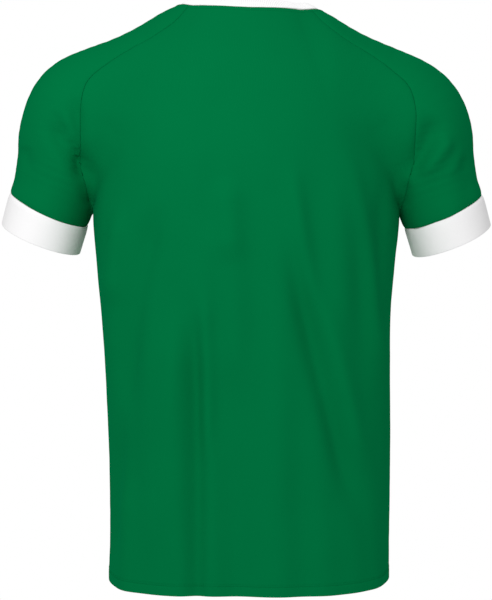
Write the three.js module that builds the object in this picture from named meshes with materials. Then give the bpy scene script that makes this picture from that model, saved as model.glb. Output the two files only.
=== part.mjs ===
// A short-sleeved football jersey with raglan sleeves, white cuffs and a white neck rib.
// It is hollow and filled out as if worn: arms a little out and forward, hem hanging free.
// Millimetres, +Z up. The front faces -Y and the wearer's left is +X.
// The origin is midway between the two points where neck and shoulders meet, which carry it.
import * as THREE from "three";

// Cloth walls and the gap left between two sewn pieces.
const WALL = 1.6;
const CUFF_WALL = 2.2;
const RIB_WALL = 2.2;
const SEAM_GAP = 0.3;

// Heights of the hem edge at the side seams, mid back and mid front, how square its curve is, and its
// turned-up band, which stands proud over a short step.
const HEM = { side: -692, back: -704, front: -700, curve: 3, band: 15, proud: 0.6, step: 0.8 };

// Neck seam: half width at the shoulders, then how far and how low it runs behind and in front, and how
// late it dips behind.
const NECK = { halfWidth: 84, shift: -6, back: 62, backZ: -9, backCurve: 1.5, front: 73, frontZ: -76 };
// The wearer's right shoulder hangs a little lower: a slope across, fading out down the sleeves.
const SHOULDER_ROLL = { slope: 0.01, from: -70, to: -150 };
// Angles round the neck seam, from mid back, where the raglan seams reach it.
const NECK_SEAM_ANGLE = { back: 61.5, front: 116 };
// The neck rib stands 16 mm and leans in, by these degrees from upright.
const RIB = { height: 16, leanBack: 45, leanSide: 62, leanFront: 42 };

// The cuff below the sleeve seam. Its outer side sits higher than its inner one, more at the seam than
// at the edge, and its back sits a little lower than its front, all in degrees from square to the arm.
const CUFF = { length: 38, proud: 0.5, seamTilt: 5.5, edgeTilt: 5, dip: 3 };

// Level sections of the body: half width, and depth behind and in front of the side seams.
const BODY_SECTIONS = [
  { z: 40, side: 40, back: 30, front: 16 },
  { z: 0, side: 74, back: 58, front: 38 },
  { z: -40, side: 110, back: 84, front: 56 },
  { z: -80, side: 143, back: 103, front: 76 },
  { z: -120, side: 163, back: 114, front: 97 },
  { z: -160, side: 175, back: 121, front: 110 },
  { z: -200, side: 182, back: 124, front: 117 },
  { z: -250, side: 186.5, back: 124, front: 120 },
  { z: -310, side: 182, back: 122, front: 119.5 },
  { z: -380, side: 177, back: 119, front: 117.5 },
  { z: -450, side: 173.5, back: 117, front: 116 },
  { z: -530, side: 171.5, back: 116, front: 115 },
  { z: -620, side: 170.8, back: 116.5, front: 114.5 },
  { z: -720, side: 170.3, back: 117.5, front: 114.5 },
];
const SECTION_POWER = 2.25;
// Below the underarms the body hangs a little towards the wearer's right.
const BODY_SWAY = { x: -4, from: -280, to: -520 };

// Sections of the sleeve along its axis, from the neck over the shoulder and down past the cuff.
// Across is the half width in the plane of the arm, deep the half depth from front to back.
const SLEEVE_SECTIONS = [
  { x: 10, y: 0, z: -32, across: 46, deep: 44 },
  { x: 60, y: 0, z: -55, across: 47.6, deep: 46 },
  { x: 114, y: 0, z: -82, across: 54.2, deep: 54 },
  { x: 169, y: 0, z: -108, across: 60.6, deep: 62 },
  { x: 199, y: 0, z: -127, across: 64, deep: 66 },
  { x: 211, y: -1, z: -155, across: 64.5, deep: 67 },
  { x: 218, y: -4, z: -185, across: 60, deep: 65 },
  { x: 231.5, y: -9, z: -222, across: 52.5, deep: 60.5 },
  { x: 241.4, y: -12.3, z: -247.3, across: 51.6, deep: 58 },
  { x: 252.6, y: -17.3, z: -284, across: 50.6, deep: 56.5 },
  { x: 264.4, y: -22.5, z: -320, across: 49.2, deep: 55 },
];
// The station of the cuff seam, and how much higher up its sleeve the wearer's left one sits.
const CUFF_SEAM = { station: 8, leftRaise: 0.08 };
const SHOULDER_STATIONS = { top: 2, low: 5 };
const AXIS_STEPS_PER_SECTION = 4;
// A short way along the axis, in stations, that gives its direction.
const AXIS_PROBE = 0.05;

// How far a straight way out from the middle of the body or sleeve can go, and in what strides.
const REACH = { body: 330, sleeve: 120, depth: 180, stride: 1 };
// Halvings that narrow a place on the cloth down, once it lies within one stride.
const HALVINGS = 24;
// The step that the cloth's slope is read over, and the limits of a move along it onto the cloth.
const SLOPE = { step: 0.4, least: 0.05, rounds: 4, mostMove: 20 };
// Where the underarm is looked for: across, from front to back, and down, with its steps.
const UNDERARM_SEARCH = {
  fromX: 178, toX: 200, stepX: 0.5, fromY: -30, toY: 20, stepY: 1, fromZ: -200, toZ: -320, stepZ: 0.25,
};
// Level rows round the body start this far under the underarm point, clear of the sleeves.
const CHEST_DROP = 1.5;

// How widely the cloth bridges the hollow between body and sleeve, low at the underarm and high up.
const BRIDGE = { low: 4, high: 62, least: 0.5, lowZ: -245, highZ: -130, innerX: 35, outerX: 110 };

// Raglan seams as seen square from behind and from in front, from the neck to near the underarm.
const BACK_RAGLAN = [
  { x: 93, z: -26 },
  { x: 118, z: -45 },
  { x: 144, z: -60 },
  { x: 168, z: -76 },
  { x: 187, z: -92 },
  { x: 197, z: -110 },
  { x: 200, z: -135 },
  { x: 199.5, z: -160 },
  { x: 197, z: -190 },
  { x: 192, z: -216 },
  { x: 188.5, z: -236 },
];
const FRONT_RAGLAN = [
  { x: 92, z: -50 },
  { x: 112, z: -72 },
  { x: 136, z: -96 },
  { x: 158, z: -122 },
  { x: 173, z: -150 },
  { x: 182, z: -182 },
  { x: 186, z: -212 },
  { x: 187.5, z: -236 },
];
// The seam behind the wearer's left shoulder sits a little higher than the right one.
const BACK_RAGLAN_RAISE = 4;

// The largest folds, each on a bend through three points seen square from its face, which is 1 behind
// and -1 in front. Height is how far it stands out, or sinks below zero, and spread is its half width.
const FOLDS = [
  { face: 1, x1: 60, z1: -340, x2: 60, z2: -520, x3: 60, z3: -700, height: -4.5, spread: 11 },
  { face: 1, x1: 94, z1: -350, x2: 97, z2: -520, x3: 104, z3: -690, height: 3.5, spread: 20 },
  { face: 1, x1: 48, z1: -330, x2: 47, z2: -440, x3: 49, z3: -560, height: 2.5, spread: 9 },
  { face: 1, x1: -50, z1: -275, x2: -91, z2: -450, x3: -150, z3: -665, height: -5, spread: 14 },
  { face: 1, x1: -62, z1: -290, x2: -112, z2: -450, x3: -150, z3: -570, height: 2.5, spread: 13 },
  { face: 1, x1: 26, z1: -210, x2: 22, z2: -264, x3: 18, z3: -320, height: 2.5, spread: 16 },
  { face: 1, x1: -48, z1: -180, x2: -66, z2: -290, x3: -84, z3: -392, height: 2.5, spread: 10 },
  { face: 1, x1: -120, z1: -170, x2: -149, z2: -327, x3: -165, z3: -460, height: 2.8, spread: 11 },
  { face: 1, x1: -163, z1: -200, x2: -165, z2: -310, x3: -171, z3: -430, height: -2.5, spread: 13 },
  { face: 1, x1: 104, z1: -240, x2: 128, z2: -350, x3: 152, z3: -540, height: -3.5, spread: 14 },
  { face: 1, x1: 149, z1: -235, x2: 156, z2: -307, x3: 160, z3: -370, height: 3, spread: 11 },
  { face: 1, x1: 148, z1: -480, x2: 158, z2: -590, x3: 160, z3: -690, height: -3.5, spread: 12 },
  { face: 1, x1: 184, z1: -226, x2: 209, z2: -182, x3: 245, z3: -138, height: -4.5, spread: 11 },
  { face: 1, x1: 205, z1: -110, x2: 199, z2: -165, x3: 190, z3: -225, height: -3, spread: 9 },
  { face: 1, x1: -193, z1: -222, x2: -212, z2: -175, x3: -233, z3: -135, height: -4, spread: 13 },
  { face: 1, x1: -200, z1: -214, x2: -228, z2: -184, x3: -245, z3: -158, height: 3, spread: 9 },
  { face: -1, x1: 128, z1: -205, x2: 108, z2: -330, x3: 76, z3: -470, height: -4, spread: 15 },
  { face: -1, x1: -132, z1: -215, x2: -96, z2: -350, x3: -52, z3: -480, height: -4.5, spread: 15 },
  { face: -1, x1: -108, z1: -225, x2: -72, z2: -350, x3: -34, z3: -470, height: 3, spread: 14 },
  { face: -1, x1: -82, z1: -470, x2: -88, z2: -580, x3: -90, z3: -700, height: -4.5, spread: 13 },
  { face: -1, x1: -112, z1: -480, x2: -120, z2: -590, x3: -122, z3: -700, height: 3.5, spread: 17 },
  { face: -1, x1: 52, z1: -420, x2: 46, z2: -560, x3: 44, z3: -700, height: -4, spread: 14 },
  { face: -1, x1: 82, z1: -440, x2: 84, z2: -580, x3: 88, z3: -700, height: 3.5, spread: 19 },
  { face: -1, x1: 152, z1: -250, x2: 158, z2: -350, x3: 161, z3: -450, height: 3, spread: 12 },
  { face: -1, x1: 10, z1: -170, x2: 2, z2: -260, x3: -8, z3: -350, height: 2.5, spread: 18 },
  { face: -1, x1: 180, z1: -222, x2: 202, z2: -176, x3: 232, z3: -136, height: -4.5, spread: 11 },
  { face: -1, x1: -182, z1: -226, x2: -206, z2: -184, x3: -240, z3: -150, height: -4.5, spread: 12 },
  { face: -1, x1: -176, z1: -186, x2: -196, z2: -150, x3: -222, z3: -118, height: 3, spread: 11 },
];
// The share of its length over which a fold dies away at each end, unless it runs out through the hem.
const FOLD_TAPER = 0.3;
// A fold dies away where the cloth turns from its face: levels of how squarely the cloth faces it.
const FOLD_FACING = { none: -0.1, full: 0.35 };
const FOLD_STEPS = 10;

// Grid steps: from neck to underarm, underarm to hem, across a body panel, round a sleeve, and down the
// lower end of a sleeve, a cuff and the neck rib.
const STEPS = { yoke: 11, body: 16, panel: 36, sleeve: 20, sleeveEnd: 2, cuff: 3, rib: 3 };
// Lines are traced this many times finer than the grid, a raglan seam this finely between its rows, and
// the line over the shoulder in this many steps.
const FINER = { row: 3, seam: 8, shoulder: 24 };

const LEFT = 1;
const RIGHT = -1;

const point = (x, y, z) => new THREE.Vector3(x, y, z);
const radians = THREE.MathUtils.degToRad;
const between = (a, b, t) => a + (b - a) * t;

function smoothStep(low, high, value) {
  const t = Math.min(1, Math.max(0, (value - low) / (high - low)));
  return t * t * (3 - 2 * t);
}

// One named column of a table, read between its rows on a smooth curve through them.
function readTable(rows, key, column, at) {
  const last = rows.length - 1;
  const rising = rows[last][key] > rows[0][key];
  let i = 0;
  while (i < last - 1 && (rising ? at > rows[i + 1][key] : at < rows[i + 1][key])) i += 1;
  const slope = (j) => {
    const a = rows[Math.max(0, j - 1)];
    const b = rows[Math.min(last, j + 1)];
    return (b[column] - a[column]) / (b[key] - a[key]);
  };
  const width = rows[i + 1][key] - rows[i][key];
  const t = Math.min(1, Math.max(0, (at - rows[i][key]) / width));
  const t2 = t * t;
  const t3 = t2 * t;
  return (
    (2 * t3 - 3 * t2 + 1) * rows[i][column] +
    (t3 - 2 * t2 + t) * width * slope(i) +
    (3 * t2 - 2 * t3) * rows[i + 1][column] +
    (t3 - t2) * width * slope(i + 1)
  );
}

// The body's three section columns at any height, tabled once so that they are quick to read.
const BODY_STEP = 2;
const bodyTop = BODY_SECTIONS[0].z;
const bodyTable = ["side", "back", "front"].map((column) => {
  const count = Math.round((bodyTop - BODY_SECTIONS.at(-1).z) / BODY_STEP) + 1;
  return Array.from({ length: count }, (_, i) =>
    readTable(BODY_SECTIONS, "z", column, bodyTop - i * BODY_STEP),
  );
});

function bodySection(z) {
  const at = Math.min(bodyTable[0].length - 1.001, Math.max(0, (bodyTop - z) / BODY_STEP));
  const i = Math.floor(at);
  return bodyTable.map((values) => between(values[i], values[i + 1], at - i));
}

const sway = (z) => BODY_SWAY.x * (1 - smoothStep(BODY_SWAY.to, BODY_SWAY.from, z));

// How far a point is outside the body of the garment, measured level from its middle.
function bodyDistance(p) {
  const [side, back, front] = bodySection(p.z);
  const x = p.x - sway(p.z);
  const reach = Math.hypot(x, p.y);
  if (reach < 1e-6) return -side;
  const across = Math.abs(x / side) ** SECTION_POWER;
  const deep = Math.abs(p.y / (p.y > 0 ? back : front)) ** SECTION_POWER;
  return reach - reach / (across + deep) ** (1 / SECTION_POWER);
}

// The sleeve's axis as short straight steps, each with its half width and half depth.
const numbered = SLEEVE_SECTIONS.map((row, station) => ({ ...row, station }));
function sleeveAxis(station) {
  const read = (column) => readTable(numbered, "station", column, station);
  return { centre: point(read("x"), read("y"), read("z")), across: read("across"), deep: read("deep") };
}
const axisSteps = Array.from(
  { length: (SLEEVE_SECTIONS.length - 1) * AXIS_STEPS_PER_SECTION + 1 },
  (_, i) => sleeveAxis(i / AXIS_STEPS_PER_SECTION),
);

// How far a point, given on the left side, is outside the sleeve.
function sleeveDistance(p) {
  let best = Infinity;
  for (let i = 0; i < axisSteps.length - 1; i += 1) {
    const a = axisSteps[i];
    const b = axisSteps[i + 1];
    const flat = a.across / a.deep;
    const dx = b.centre.x - a.centre.x;
    const dy = (b.centre.y - a.centre.y) * flat;
    const dz = b.centre.z - a.centre.z;
    const px = p.x - a.centre.x;
    const py = (p.y - a.centre.y) * flat;
    const pz = p.z - a.centre.z;
    const along = (px * dx + py * dy + pz * dz) / (dx * dx + dy * dy + dz * dz);
    const t = Math.min(1, Math.max(0, along));
    const away = Math.hypot(px - dx * t, py - dy * t, pz - dz * t);
    best = Math.min(best, away - between(a.across, b.across, t));
  }
  return best;
}

// Below zero inside the garment, zero on its cloth: body and sleeves joined with a soft bridge.
function clothField(at) {
  const roll = SHOULDER_ROLL.slope * smoothStep(SHOULDER_ROLL.to, SHOULDER_ROLL.from, at.z);
  const p = point(at.x, at.y, at.z - roll * at.x);
  const mirrored = point(Math.abs(p.x), p.y, p.z);
  const body = bodyDistance(p);
  const sleeve = sleeveDistance(mirrored);
  const rise = smoothStep(BRIDGE.lowZ, BRIDGE.highZ, p.z);
  const inwards = smoothStep(BRIDGE.innerX, BRIDGE.outerX, mirrored.x);
  const width = Math.max(BRIDGE.least, between(BRIDGE.low, BRIDGE.high, rise) * inwards);
  const share = Math.min(1, Math.max(0, 0.5 + (0.5 * (sleeve - body)) / width));
  return between(sleeve, body, share) - width * share * (1 - share);
}

function fieldSlope(p) {
  const along = ["x", "y", "z"].map((axis) => {
    const ahead = p.clone();
    const behind = p.clone();
    ahead[axis] += SLOPE.step;
    behind[axis] -= SLOPE.step;
    return (clothField(ahead) - clothField(behind)) / (2 * SLOPE.step);
  });
  return point(...along);
}

const outwards = (p) => fieldSlope(p).normalize();

// Moves a point onto the cloth along the steepest way.
function ontoCloth(start) {
  const p = start.clone();
  for (let i = 0; i < SLOPE.rounds; i += 1) {
    const slope = fieldSlope(p);
    const move = -clothField(p) / Math.max(slope.lengthSq(), SLOPE.least);
    p.addScaledVector(slope, THREE.MathUtils.clamp(move, -SLOPE.mostMove, SLOPE.mostMove));
  }
  return p;
}

// The first place where a straight way out from inside meets the cloth.
function wayOut(from, direction, reach = REACH.body) {
  const at = (d) => from.clone().addScaledVector(direction, d);
  const { stride } = REACH;
  let low = 0;
  while (low < reach && clothField(at(low + stride)) < 0) low += stride;
  let high = low + stride;
  for (let i = 0; i < HALVINGS; i += 1) {
    const middle = (low + high) / 2;
    if (clothField(at(middle)) < 0) low = middle;
    else high = middle;
  }
  return at((low + high) / 2);
}

// The first place where a level way in from in front or behind meets the cloth.
function seenFrom(facing, x, z) {
  const { stride } = REACH;
  let y = facing * REACH.depth;
  while (facing * y > 0 && clothField(point(x, y - facing * stride, z)) > 0) y -= facing * stride;
  let outside = y;
  let inside = y - facing * stride;
  for (let i = 0; i < HALVINGS; i += 1) {
    const middle = (outside + inside) / 2;
    if (clothField(point(x, middle, z)) > 0) outside = middle;
    else inside = middle;
  }
  return point(x, (outside + inside) / 2, z);
}

// The underarm point on the left: the saddle below which body and sleeve part.
function findUnderarm() {
  const { fromX, toX, stepX, fromY, toY, stepY, fromZ, toZ, stepZ } = UNDERARM_SEARCH;
  let saddle = point(0, 0, 0);
  for (let y = fromY; y <= toY; y += stepY) {
    let arch = point(0, y, 2 * toZ);
    for (let x = fromX; x < toX; x += stepX) {
      let z = fromZ;
      while (z > toZ && clothField(point(x, y, z)) < 0) z -= stepZ;
      if (z > arch.z) arch = point(x, y, z);
    }
    if (arch.z < saddle.z) saddle = arch;
  }
  return saddle;
}
const UNDERARM = findUnderarm();
const underarm = (side) => point(side * UNDERARM.x, UNDERARM.y, UNDERARM.z);
const CHEST_Z = UNDERARM.z - CHEST_DROP;

// A point of the neck seam, by its angle from mid back towards the wearer's left.
function neckSeam(degrees) {
  const a = radians(degrees);
  const toFront = Math.cos(a) < 0;
  const share = Math.abs(Math.cos(a));
  const y = toFront ? -NECK.front * share : NECK.back * share;
  const z = toFront ? NECK.frontZ * share : NECK.backZ * share ** NECK.backCurve;
  return ontoCloth(point(NECK.shift + NECK.halfWidth * Math.sin(a), y, z));
}

// The neck edge of one piece, between the angles where two raglan seams end.
const neckEdge = (from, to, steps) =>
  Array.from({ length: steps + 1 }, (_, j) => neckSeam(between(from, to, j / steps)));
const NECK_EDGES = {
  back: neckEdge(NECK_SEAM_ANGLE.back, -NECK_SEAM_ANGLE.back, STEPS.panel),
  right: neckEdge(-NECK_SEAM_ANGLE.back, -NECK_SEAM_ANGLE.front, STEPS.sleeve),
  front: neckEdge(-NECK_SEAM_ANGLE.front, NECK_SEAM_ANGLE.front - 360, STEPS.panel),
  left: neckEdge(NECK_SEAM_ANGLE.back, NECK_SEAM_ANGLE.front, STEPS.sleeve),
};

// Points spaced evenly along a line of points.
function evenly(line, steps) {
  const along = [0];
  for (let i = 1; i < line.length; i += 1) along.push(along[i - 1] + line[i].distanceTo(line[i - 1]));
  return Array.from({ length: steps + 1 }, (_, k) => {
    const at = (along.at(-1) * k) / steps;
    let i = 0;
    while (i < line.length - 2 && along[i + 1] < at) i += 1;
    const t = (at - along[i]) / (along[i + 1] - along[i]);
    return line[i].clone().lerp(line[i + 1], t);
  });
}

// A raglan seam from the neck to the underarm, on the side and face asked for.
function raglanSeam(side, facing) {
  const table = facing > 0 ? BACK_RAGLAN : FRONT_RAGLAN;
  const start = neckSeam(side * (facing > 0 ? NECK_SEAM_ANGLE.back : NECK_SEAM_ANGLE.front));
  const raise = facing > 0 ? BACK_RAGLAN_RAISE * side : 0;
  const rows = [{ x: side * (start.x - NECK.shift), z: start.z }, ...table, UNDERARM];
  const numberedRows = rows.map(({ x, z }, station) => ({ x, z, station }));
  const line = [start];
  const count = (rows.length - 1) * FINER.seam;
  for (let i = 1; i < count; i += 1) {
    const share = i / count;
    const x = readTable(numberedRows, "station", "x", i / FINER.seam);
    const z = readTable(numberedRows, "station", "z", i / FINER.seam) + raise * Math.sin(Math.PI * share);
    line.push(seenFrom(facing, side * x + NECK.shift * (1 - share), z));
  }
  line.push(underarm(side));
  return evenly(line, STEPS.yoke);
}

// A row of cloth points where a flat cut through three of them, seen from a centre on it, meets the cloth.
function flatRow(start, middle, end, centre, steps) {
  const first = start.clone().sub(centre).normalize();
  const facing = first.clone().cross(middle.clone().sub(centre)).normalize();
  const second = facing.cross(first);
  const angleOf = (p) => {
    const way = p.clone().sub(centre);
    const angle = Math.atan2(way.dot(second), way.dot(first));
    return angle < 0 ? angle + 2 * Math.PI : angle;
  };
  const sweep = angleOf(end);
  const fine = FINER.row * steps;
  const line = [start.clone()];
  for (let i = 1; i < fine; i += 1) {
    const a = (sweep * i) / fine;
    const way = first.clone().multiplyScalar(Math.cos(a)).addScaledVector(second, Math.sin(a));
    line.push(wayOut(centre, way));
  }
  line.push(end.clone());
  return evenly(line, steps);
}

// A grid spread between its four edges, its inner rows sent level from the middle onto the cloth.
function spreadBetween(top, bottom, start, end) {
  const rows = start.length - 1;
  const columns = top.length - 1;
  const fine = FINER.row * columns;
  const onLine = (line, at) => line[Math.floor(at)].clone().lerp(line[Math.ceil(at)], at % 1);
  return start.map((_, i) => {
    if (i === 0) return top;
    if (i === rows) return bottom;
    const v = i / rows;
    const line = Array.from({ length: fine + 1 }, (_, j) => {
      if (j === 0) return start[i];
      if (j === fine) return end[i];
      const u = j / fine;
      const p = onLine(top, u * columns).multiplyScalar(1 - v);
      p.addScaledVector(onLine(bottom, u * columns), v);
      p.addScaledVector(start[i], 1 - u).addScaledVector(end[i], u);
      p.addScaledVector(top[0], -(1 - u) * (1 - v)).addScaledVector(top[columns], -u * (1 - v));
      p.addScaledVector(bottom[0], -(1 - u) * v).addScaledVector(bottom[columns], -u * v);
      return wayOut(point(0, 0, p.z), point(p.x, p.y, 0).normalize());
    });
    return evenly(line, columns);
  });
}

// The hem edge's height at a level angle, where 0 is the wearer's left and 90 is mid back.
function hemHeight(degrees) {
  const turn = Math.sin(radians(degrees));
  const drop = (turn > 0 ? HEM.back : HEM.front) - HEM.side;
  return HEM.side + drop * (1 - (1 - Math.abs(turn)) ** HEM.curve);
}

// One level row of a body panel below the underarms, from the wearer's left side to the right one.
function bodyRow(facing, share, rise) {
  const fine = FINER.row * STEPS.panel;
  const line = Array.from({ length: fine + 1 }, (_, j) => {
    const degrees = (180 * j) / fine;
    const z = between(CHEST_Z, hemHeight(facing * degrees) + rise, share);
    const a = radians(degrees);
    const middle = point(sway(z), UNDERARM.y * (1 - share), z);
    return wayOut(middle, point(Math.cos(a), facing * Math.sin(a), 0));
  });
  if (share === 0) {
    line[0] = underarm(LEFT);
    line[fine] = underarm(RIGHT);
  }
  return evenly(line, STEPS.panel);
}

// A back or front panel, from the neck seam down to the hem. Each row says how proud it stands.
function bodyPanel(facing) {
  const neck = facing > 0 ? NECK_EDGES.back : NECK_EDGES.front.toReversed();
  const chest = bodyRow(facing, 0, 0);
  const points = spreadBetween(neck, chest, raglanSeam(LEFT, facing), raglanSeam(RIGHT, facing));
  const proud = points.map(() => 0);
  for (let i = 1; i <= STEPS.body; i += 1) {
    points.push(bodyRow(facing, i / STEPS.body, HEM.band));
    proud.push(0);
  }
  points.push(bodyRow(facing, 1, HEM.band - HEM.step), bodyRow(facing, 1, 0));
  proud.push(HEM.proud, HEM.proud);
  return { points, proud };
}

const cuffSeamStation = (side) => CUFF_SEAM.station - (side === LEFT ? CUFF_SEAM.leftRaise : 0);

// A frame on the sleeve's axis: its centre, the way along, out from the body, and to the back.
function sleeveFrame(side, station) {
  const { centre } = sleeveAxis(station);
  const along = sleeveAxis(station + AXIS_PROBE).centre.sub(centre).normalize();
  const back = point(0, 1, 0).addScaledVector(along, -along.y).normalize();
  const out = back.clone().cross(along).normalize();
  if (out.x < 0) out.negate();
  const mirror = point(side, 1, 1);
  for (const way of [centre, along, back, out]) way.multiply(mirror);
  return { centre, along, back, out };
}

// A ring round the sleeve from the underarm round the back. Level is 1 where it runs level from front
// to back, as at the underarm, and 0 at the cuff, where it has the cuff's tilt and dip.
function sleeveRing(side, station, steps, level, tilt = CUFF.seamTilt) {
  const { centre, along, back, out } = sleeveFrame(side, station);
  out.addScaledVector(along, -Math.tan(radians(tilt * (1 - level)))).normalize();
  back.addScaledVector(along, Math.tan(radians(CUFF.dip))).lerp(point(0, 1, 0), level).normalize();
  return Array.from({ length: steps + 1 }, (_, j) => {
    const a = radians((360 * j) / steps);
    const way = out.clone().multiplyScalar(-Math.cos(a)).addScaledVector(back, Math.sin(a)).normalize();
    return wayOut(centre, way, REACH.sleeve);
  });
}

// The station where the ring square to the axis passes through the underarm.
function underarmStation() {
  let { low } = SHOULDER_STATIONS;
  let high = CUFF_SEAM.station;
  for (let i = 0; i < HALVINGS; i += 1) {
    const middle = (low + high) / 2;
    const { centre, along } = sleeveFrame(LEFT, middle);
    if (UNDERARM.clone().sub(centre).dot(along) > 0) low = middle;
    else high = middle;
  }
  return low;
}
const UNDERARM_STATION = underarmStation();

// The line over the shoulder and down the outside of the sleeve, from the neck to the underarm's ring.
function shoulderLine(side, neckPoint, ringPoint) {
  const line = [neckPoint];
  for (let i = 0; i < FINER.shoulder; i += 1) {
    const station = between(SHOULDER_STATIONS.top, UNDERARM_STATION, i / FINER.shoulder);
    const { centre, out } = sleeveFrame(side, station);
    line.push(wayOut(centre, out, REACH.sleeve));
  }
  line.push(ringPoint);
  return evenly(line, STEPS.yoke);
}

// A raglan sleeve down to its cuff seam, from the back seam over the shoulder to the front seam.
function sleevePanel(side) {
  const neck = side === LEFT ? NECK_EDGES.left : NECK_EDGES.right;
  const ring = sleeveRing(side, UNDERARM_STATION, STEPS.sleeve, 1);
  ring[0] = underarm(side);
  ring[STEPS.sleeve] = underarm(side);
  const back = raglanSeam(side, 1);
  const front = raglanSeam(side, -1);
  const top = shoulderLine(side, neck[STEPS.sleeve / 2], ring[STEPS.sleeve / 2]);
  const points = [neck];
  for (let i = 1; i < STEPS.yoke; i += 1) {
    const centre = back[i].clone().add(front[i]).multiplyScalar(0.5).lerp(top[i], 0.5);
    points.push(flatRow(back[i], top[i], front[i], centre, STEPS.sleeve));
  }
  points.push(ring);
  for (let i = 1; i <= STEPS.sleeveEnd; i += 1) {
    const share = i / STEPS.sleeveEnd;
    const station = between(UNDERARM_STATION, cuffSeamStation(side), share);
    points.push(sleeveRing(side, station, STEPS.sleeve, 1 - share));
  }
  return points;
}

// The cuff: a closed band from the sleeve seam to its folded lower edge.
function cuffBand(side) {
  const seam = cuffSeamStation(side);
  const perStation = sleeveAxis(seam + 1).centre.distanceTo(sleeveAxis(seam).centre);
  return Array.from({ length: STEPS.cuff + 1 }, (_, i) => {
    const share = i / STEPS.cuff;
    const station = seam + (CUFF.length / perStation) * share;
    const tilt = between(CUFF.seamTilt, CUFF.edgeTilt, share);
    return sleeveRing(side, station, STEPS.sleeve, 0, tilt).slice(0, -1);
  });
}

// The neck rib: a closed band that stands on the neck seam and leans in.
function neckRib() {
  const { back, right, front, left } = NECK_EDGES;
  const seam = [...back.slice(1), ...right.slice(1), ...front.slice(1), ...left.toReversed().slice(1)];
  return Array.from({ length: STEPS.rib + 1 }, (_, i) =>
    seam.map((p, j) => {
      const turn = p.y / (p.y > 0 ? NECK.back : NECK.front);
      const end = turn > 0 ? RIB.leanBack : RIB.leanFront;
      const lean = radians(between(RIB.leanSide, end, turn * turn));
      const after = seam[(j + 1) % seam.length];
      const before = seam.at(j - 1);
      const inwards = point(after.y - before.y, before.x - after.x, 0).normalize();
      if (inwards.x * p.x + inwards.y * p.y > 0) inwards.negate();
      const length = SEAM_GAP / 2 + (RIB.height * i) / STEPS.rib;
      const leaning = inwards.multiplyScalar(Math.sin(lean)).add(point(0, 0, Math.cos(lean)));
      return p.clone().addScaledVector(leaning, length);
    }),
  );
}

// Moves the open edges of a grid in by half the seam gap, square to the edge.
function inset(grid, closed) {
  const rows = grid.length;
  const columns = grid[0].length;
  const moved = grid.map((row) => row.map((p) => p.clone()));
  const at = (i, j) => {
    const column = closed ? (j + columns) % columns : THREE.MathUtils.clamp(j, 0, columns - 1);
    return grid[THREE.MathUtils.clamp(i, 0, rows - 1)][column];
  };
  const draw = (i, j, inI, inJ) => {
    const edge = at(i + inJ, j + inI).clone().sub(at(i - inJ, j - inI)).normalize();
    const way = at(i + inI, j + inJ).clone().sub(grid[i][j]);
    way.addScaledVector(edge, -way.dot(edge)).normalize();
    moved[i][j].addScaledVector(way, SEAM_GAP / 2);
  };
  for (let j = 0; j < columns; j += 1) {
    draw(0, j, 1, 0);
    draw(rows - 1, j, -1, 0);
  }
  if (!closed) {
    for (let i = 0; i < rows; i += 1) {
      draw(i, 0, 0, 1);
      draw(i, columns - 1, 0, -1);
    }
  }
  return moved;
}

// The folds, each as short straight steps along its bend.
const foldLines = FOLDS.map((fold) => {
  const start = new THREE.Vector2(fold.x1, fold.z1);
  const end = new THREE.Vector2(fold.x3, fold.z3);
  const pull = new THREE.Vector2(fold.x2, fold.z2).multiplyScalar(2);
  pull.addScaledVector(start, -0.5).addScaledVector(end, -0.5);
  return { ...fold, line: new THREE.QuadraticBezierCurve(start, pull, end).getPoints(FOLD_STEPS) };
});

// How far the folds lift the cloth at a point, which is below zero in a trough.
function foldHeight(p, normal) {
  let height = 0;
  for (const { face, line, height: most, spread } of foldLines) {
    const facing = smoothStep(FOLD_FACING.none, FOLD_FACING.full, normal.y * face);
    if (facing === 0) continue;
    let nearest = Infinity;
    let along = 0;
    for (let i = 0; i < line.length - 1; i += 1) {
      const step = line[i + 1].clone().sub(line[i]);
      const offset = new THREE.Vector2(p.x, p.z).sub(line[i]);
      const t = THREE.MathUtils.clamp(offset.dot(step) / step.lengthSq(), 0, 1);
      const away = offset.addScaledVector(step, -t).length();
      if (away < nearest) {
        nearest = away;
        along = (i + t) / (line.length - 1);
      }
    }
    const openEnd = line.at(-1).y < HEM.side;
    const taper = smoothStep(0, FOLD_TAPER, along) * (openEnd ? 1 : smoothStep(0, FOLD_TAPER, 1 - along));
    height += facing * most * taper * Math.exp(-((nearest / spread) ** 2));
  }
  return height;
}

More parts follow.
